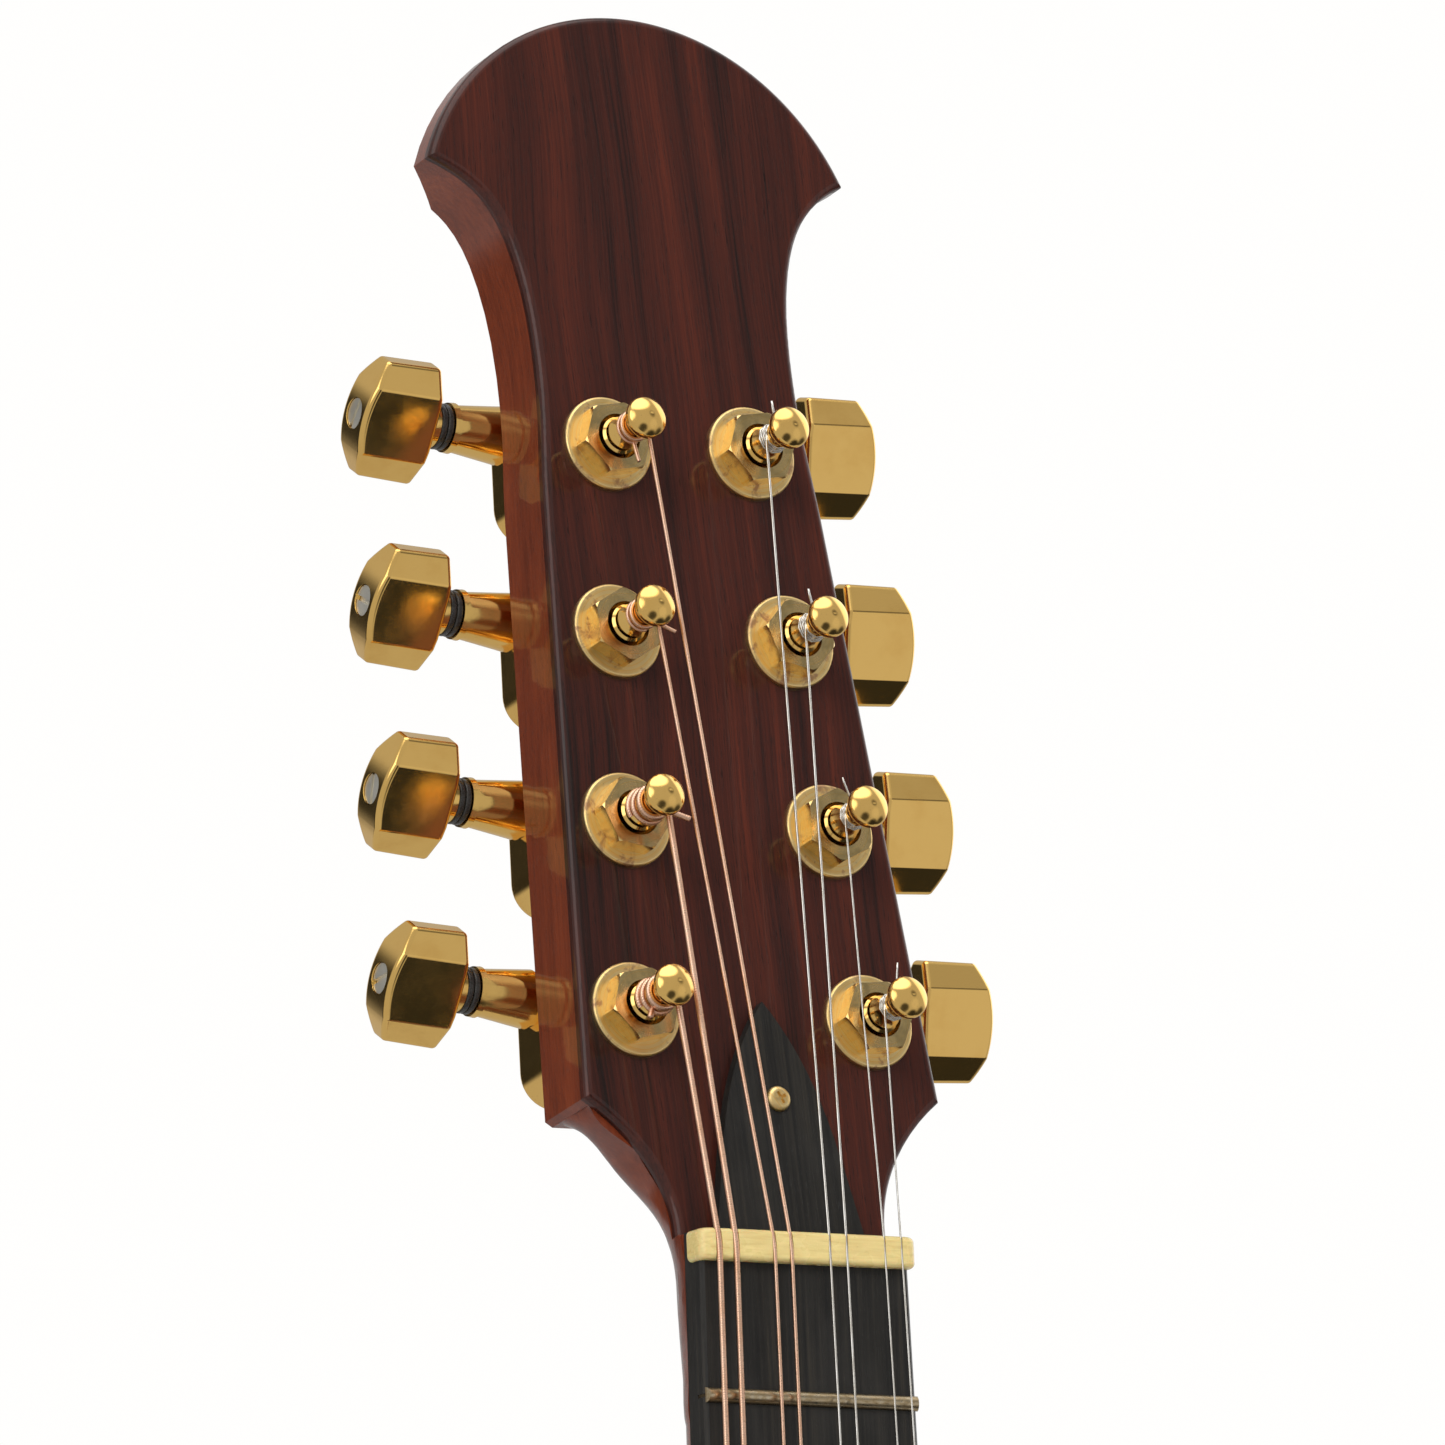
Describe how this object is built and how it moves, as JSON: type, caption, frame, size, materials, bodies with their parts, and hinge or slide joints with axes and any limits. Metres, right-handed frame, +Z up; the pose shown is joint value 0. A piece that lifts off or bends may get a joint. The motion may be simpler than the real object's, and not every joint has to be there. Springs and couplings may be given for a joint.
{
  "type": "bouzouki",
  "caption": "Flat-top teardrop bouzouki with paired strings, a fan-crowned headstock and working worm-geared tuners.",
  "frame": {"origin": "on the tail, where the end pin's axis meets the sides, half way through the body's depth", "axes": "+Z up the instrument from tail to headstock, -Y out of the soundboard towards the player's strumming hand, +X towards the treble side"},
  "size_m": [0.266, 0.0784, 0.736],
  "materials": {
    "mahogany": "gloss lacquer over a red-brown stain",
    "rosewood": "gloss lacquer, dark straight grain",
    "ebony": "satin",
    "spruce": "gloss lacquer",
    "inner_wood": "unfinished",
    "bone": "polished bone",
    "binding": "gloss",
    "pearl": "pearly",
    "rosette": "gloss mosaic rings",
    "gold": "gold plated, polished",
    "worn_gold": "gold plated, tarnished",
    "nickel_silver": "dull, worn",
    "steel": "plain and bronze-wound wire",
    "gear_brass": "machined",
    "dark_steel": "machined"
  },
  "bodies": {
    "instrument": {"neck": "mahogany", "headstock_face": "rosewood", "truss_rod": "dark_steel", "truss_rod_cover": "ebony", "small_screws": "gold", "nut": "bone", "fretboard": "ebony", "frets": "nickel_silver", "position_markers": "pearl", "soundboard": "spruce", "back_plate": "rosewood", "sides": "rosewood", "linings": "inner_wood", "neck_block": "inner_wood", "tail_block": "inner_wood", "soundboard_braces": "inner_wood", "back_braces": "inner_wood", "rosette": "rosette", "binding": "binding", "bridge": "ebony", "saddle": "bone", "tailpiece": "gold", "end_pin": "ebony", "strings": "steel", "tuner_housings": "gold", "tuner_housing_covers": "gold", "tuner_bushings": "gold", "tuner_washers": "worn_gold"},
    "button_1": {"tuner_1_button": "gold", "tuner_1_worm": "dark_steel"},
    "post_1": {"tuner_1_post": "gold", "tuner_1_wheel": "gear_brass"},
    "button_2": {"tuner_2_button": "gold", "tuner_2_worm": "dark_steel"},
    "post_2": {"tuner_2_post": "gold", "tuner_2_wheel": "gear_brass"},
    "button_3": {"tuner_3_button": "gold", "tuner_3_worm": "dark_steel"},
    "post_3": {"tuner_3_post": "gold", "tuner_3_wheel": "gear_brass"},
    "button_4": {"tuner_4_button": "gold", "tuner_4_worm": "dark_steel"},
    "post_4": {"tuner_4_post": "gold", "tuner_4_wheel": "gear_brass"},
    "button_5": {"tuner_5_button": "gold", "tuner_5_worm": "dark_steel"},
    "post_5": {"tuner_5_post": "gold", "tuner_5_wheel": "gear_brass"},
    "button_6": {"tuner_6_button": "gold", "tuner_6_worm": "dark_steel"},
    "post_6": {"tuner_6_post": "gold", "tuner_6_wheel": "gear_brass"},
    "button_7": {"tuner_7_button": "gold", "tuner_7_worm": "dark_steel"},
    "post_7": {"tuner_7_post": "gold", "tuner_7_wheel": "gear_brass"},
    "button_8": {"tuner_8_button": "gold", "tuner_8_worm": "dark_steel"},
    "post_8": {"tuner_8_post": "gold", "tuner_8_wheel": "gear_brass"}
  },
  "joints": [
    {"name": "button_1_turn", "type": "hinge", "parent": "instrument", "child": "button_1", "pos_m": [-0.01983, -0.00632, 0.56657], "axis": [-0.9963, 0.013, 0.0844], "continuous": true},
    {"name": "post_1_turn", "type": "hinge", "parent": "instrument", "child": "post_1", "pos_m": [-0.02045, -0.02638, 0.5624], "axis": [0, -0.9884, 0.1521], "continuous": true},
    {"name": "button_2_turn", "type": "hinge", "parent": "instrument", "child": "button_2", "pos_m": [0.0203, -0.00631, 0.56659], "axis": [0.9998, 0.0032, 0.0207], "continuous": true},
    {"name": "post_2_turn", "type": "hinge", "parent": "instrument", "child": "post_2", "pos_m": [0.02045, -0.02638, 0.5624], "axis": [0, -0.9884, 0.1521], "continuous": true},
    {"name": "button_3_turn", "type": "hinge", "parent": "instrument", "child": "button_3", "pos_m": [-0.01723, -0.00169, 0.59661], "axis": [-0.9963, 0.013, 0.0844], "continuous": true},
    {"name": "post_3_turn", "type": "hinge", "parent": "instrument", "child": "post_3", "pos_m": [-0.01785, -0.02176, 0.59244], "axis": [0, -0.9884, 0.1521], "continuous": true},
    {"name": "button_4_turn", "type": "hinge", "parent": "instrument", "child": "button_4", "pos_m": [0.0177, -0.00169, 0.59664], "axis": [0.9998, 0.0032, 0.0207], "continuous": true},
    {"name": "post_4_turn", "type": "hinge", "parent": "instrument", "child": "post_4", "pos_m": [0.01785, -0.02176, 0.59244], "axis": [0, -0.9884, 0.1521], "continuous": true},
    {"name": "button_5_turn", "type": "hinge", "parent": "instrument", "child": "button_5", "pos_m": [-0.01463, 0.00293, 0.62666], "axis": [-0.9963, 0.013, 0.0844], "continuous": true},
    {"name": "post_5_turn", "type": "hinge", "parent": "instrument", "child": "post_5", "pos_m": [-0.01525, -0.01714, 0.62249], "axis": [0, -0.9884, 0.1521], "continuous": true},
    {"name": "button_6_turn", "type": "hinge", "parent": "instrument", "child": "button_6", "pos_m": [0.0151, 0.00294, 0.62668], "axis": [0.9998, 0.0032, 0.0207], "continuous": true},
    {"name": "post_6_turn", "type": "hinge", "parent": "instrument", "child": "post_6", "pos_m": [0.01525, -0.01714, 0.62249], "axis": [0, -0.9884, 0.1521], "continuous": true},
    {"name": "button_7_turn", "type": "hinge", "parent": "instrument", "child": "button_7", "pos_m": [-0.01203, 0.00756, 0.6567], "axis": [-0.9963, 0.013, 0.0844], "continuous": true},
    {"name": "post_7_turn", "type": "hinge", "parent": "instrument", "child": "post_7", "pos_m": [-0.01265, -0.01251, 0.65254], "axis": [0, -0.9884, 0.1521], "continuous": true},
    {"name": "button_8_turn", "type": "hinge", "parent": "instrument", "child": "button_8", "pos_m": [0.0125, 0.00756, 0.65673], "axis": [0.9998, 0.0032, 0.0207], "continuous": true},
    {"name": "post_8_turn", "type": "hinge", "parent": "instrument", "child": "post_8", "pos_m": [0.01265, -0.01251, 0.65254], "axis": [0, -0.9884, 0.1521], "continuous": true}
  ],
  "couplings": [
    {"joint": "post_1_turn", "follows": "button_1_turn", "ratio": -0.066667},
    {"joint": "post_2_turn", "follows": "button_2_turn", "ratio": 0.066667},
    {"joint": "post_3_turn", "follows": "button_3_turn", "ratio": -0.066667},
    {"joint": "post_4_turn", "follows": "button_4_turn", "ratio": 0.066667},
    {"joint": "post_5_turn", "follows": "button_5_turn", "ratio": -0.066667},
    {"joint": "post_6_turn", "follows": "button_6_turn", "ratio": 0.066667},
    {"joint": "post_7_turn", "follows": "button_7_turn", "ratio": -0.066667},
    {"joint": "post_8_turn", "follows": "button_8_turn", "ratio": 0.066667}
  ]
}
